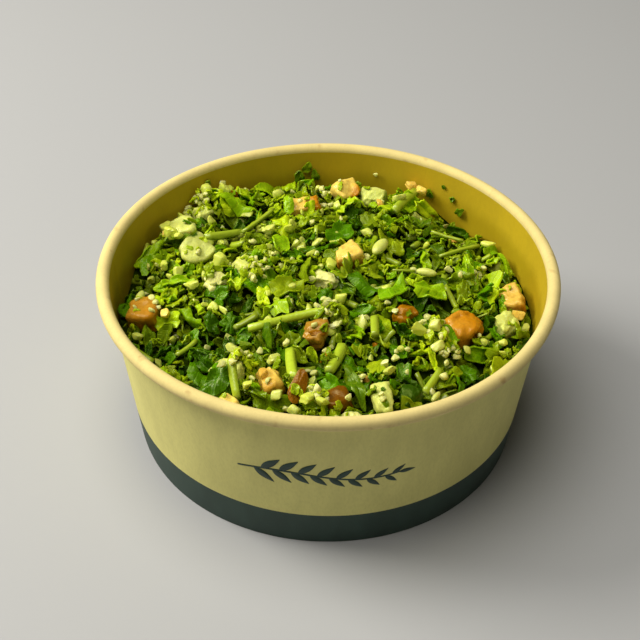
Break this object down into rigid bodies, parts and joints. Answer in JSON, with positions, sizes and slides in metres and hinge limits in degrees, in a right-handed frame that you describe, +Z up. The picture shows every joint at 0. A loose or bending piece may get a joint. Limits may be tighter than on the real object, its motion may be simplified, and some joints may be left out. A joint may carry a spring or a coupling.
{
  "type": "tabbouleh salad",
  "caption": "Round paper takeaway bowl with a rolled rim, heaped with chopped parsley salad with bulgur, tomato, cucumber and onion dice.",
  "frame": {"origin": "middle of the bowl's foot, on the surface that it stands on", "axes": "+Z up, -Y towards the viewer of the bowl's front, +X to the right"},
  "size_m": [0.15, 0.15, 0.0615],
  "materials": {
    "bowl_paper": "uncoated pale brown paper board, with a printed dark green band at the foot",
    "parsley": "chopped parsley and stems wet with dressing, with cream grains of bulgur",
    "tomato": "wet diced tomato, orange to pale red",
    "cucumber": "wet diced cucumber, pale yellow-green",
    "onion": "chopped onion, cream and slightly clear"
  },
  "bodies": {
    "root": {"bowl_wall": "bowl_paper", "bowl_base": "bowl_paper", "salad": "parsley", "tomato_1": "tomato", "tomato_2": "tomato", "tomato_3": "tomato", "tomato_4": "tomato", "tomato_5": "tomato", "tomato_6": "tomato", "tomato_7": "tomato", "tomato_8": "tomato", "tomato_9": "tomato", "tomato_10": "tomato", "tomato_11": "tomato", "tomato_12": "tomato", "cucumber_1": "cucumber", "cucumber_2": "cucumber", "cucumber_3": "cucumber", "cucumber_4": "cucumber", "cucumber_5": "cucumber", "cucumber_6": "cucumber", "cucumber_7": "cucumber", "cucumber_8": "cucumber", "cucumber_9": "cucumber", "onion_1": "onion", "onion_2": "onion", "onion_3": "onion"}
  },
  "joints": []
}
